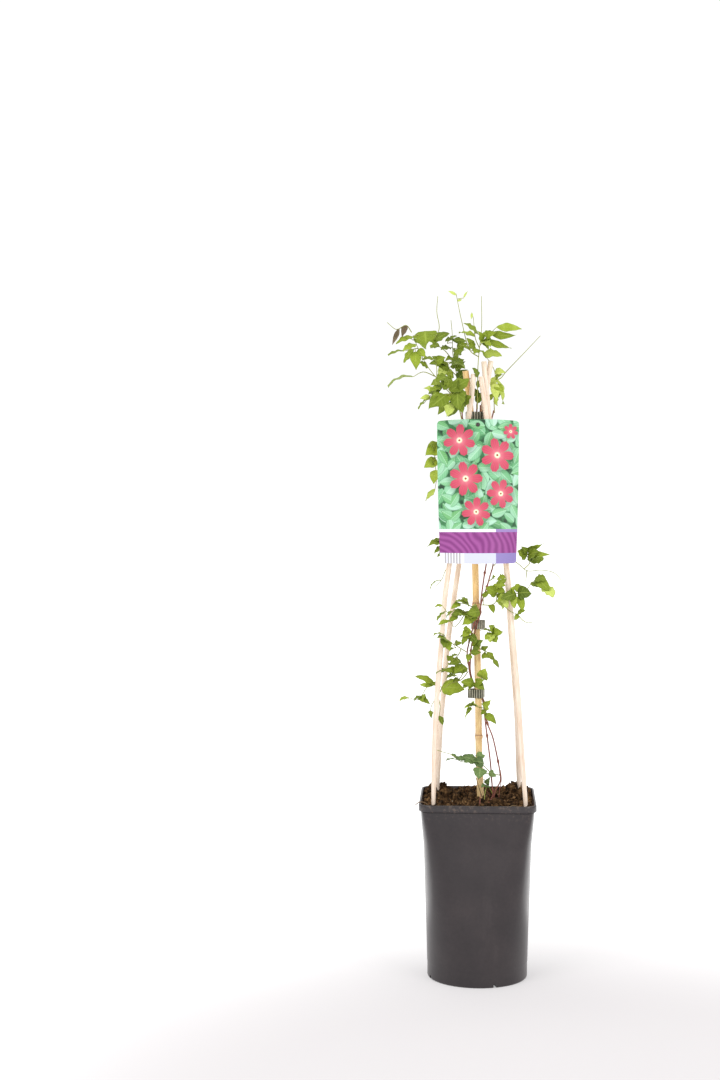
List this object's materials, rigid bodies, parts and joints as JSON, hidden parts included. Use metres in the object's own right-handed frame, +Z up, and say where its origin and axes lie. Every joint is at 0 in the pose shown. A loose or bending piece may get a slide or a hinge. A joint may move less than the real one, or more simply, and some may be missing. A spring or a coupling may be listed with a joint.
{
  "type": "potted climbing clematis on a cane wigwam",
  "caption": "Young climbing clematis in a tall square-topped pot, tied to a bamboo cane inside a wigwam of thin canes, with a hanging picture label.",
  "frame": {"origin": "centre of the pot's flat base", "axes": "+Z up along the plant, -Y towards the face of the hanging label, +X to the right when facing the label"},
  "size_m": [0.2023, 0.136, 0.8082],
  "materials": {
    "pot_plastic": "matte, slightly waxy, dark grey",
    "soil": "loose, damp, matte peat",
    "cane": "pale split wood, dry and matte",
    "bamboo": "smooth bamboo skin, satin",
    "tie_plastic": "ribbed soft plastic, grey-green, satin",
    "label_card": "printed plastic card, satin",
    "pin_plastic": "dark plastic, satin",
    "stem": "thin reddish-brown bark, matte",
    "leaf": "living leaf, satin",
    "leaf_withered": "dry brown leaf, matte"
  },
  "bodies": {
    "root": {"bamboo_cane": "bamboo", "cane_back_left": "cane", "cane_back_right": "cane", "cane_front_left": "cane", "cane_front_right": "cane", "label": "label_card", "label_pin": "pin_plastic", "pot": "pot_plastic", "soil": "soil", "spray_above_tie": "leaf", "spray_below_tie": "leaf", "spray_cane_side": "leaf", "spray_cluster_right": "leaf", "spray_crown": "leaf", "spray_far_left": "leaf", "spray_fork": "leaf", "spray_label_left": "leaf", "spray_label_left_low": "leaf", "spray_label_right": "leaf", "spray_low": "leaf", "spray_mid_left": "leaf", "spray_mid_pair": "leaf", "spray_tie_left": "leaf", "spray_tie_right": "leaf", "spray_top_centre": "leaf", "spray_top_left": "leaf", "spray_top_low_left": "leaf", "spray_top_middle": "leaf", "spray_top_right": "leaf", "spray_upper_left": "leaf", "stems": "stem", "tie_lower": "tie_plastic", "tie_top": "tie_plastic", "tie_upper": "tie_plastic", "withered_leaf": "leaf_withered"}
  },
  "joints": []
}
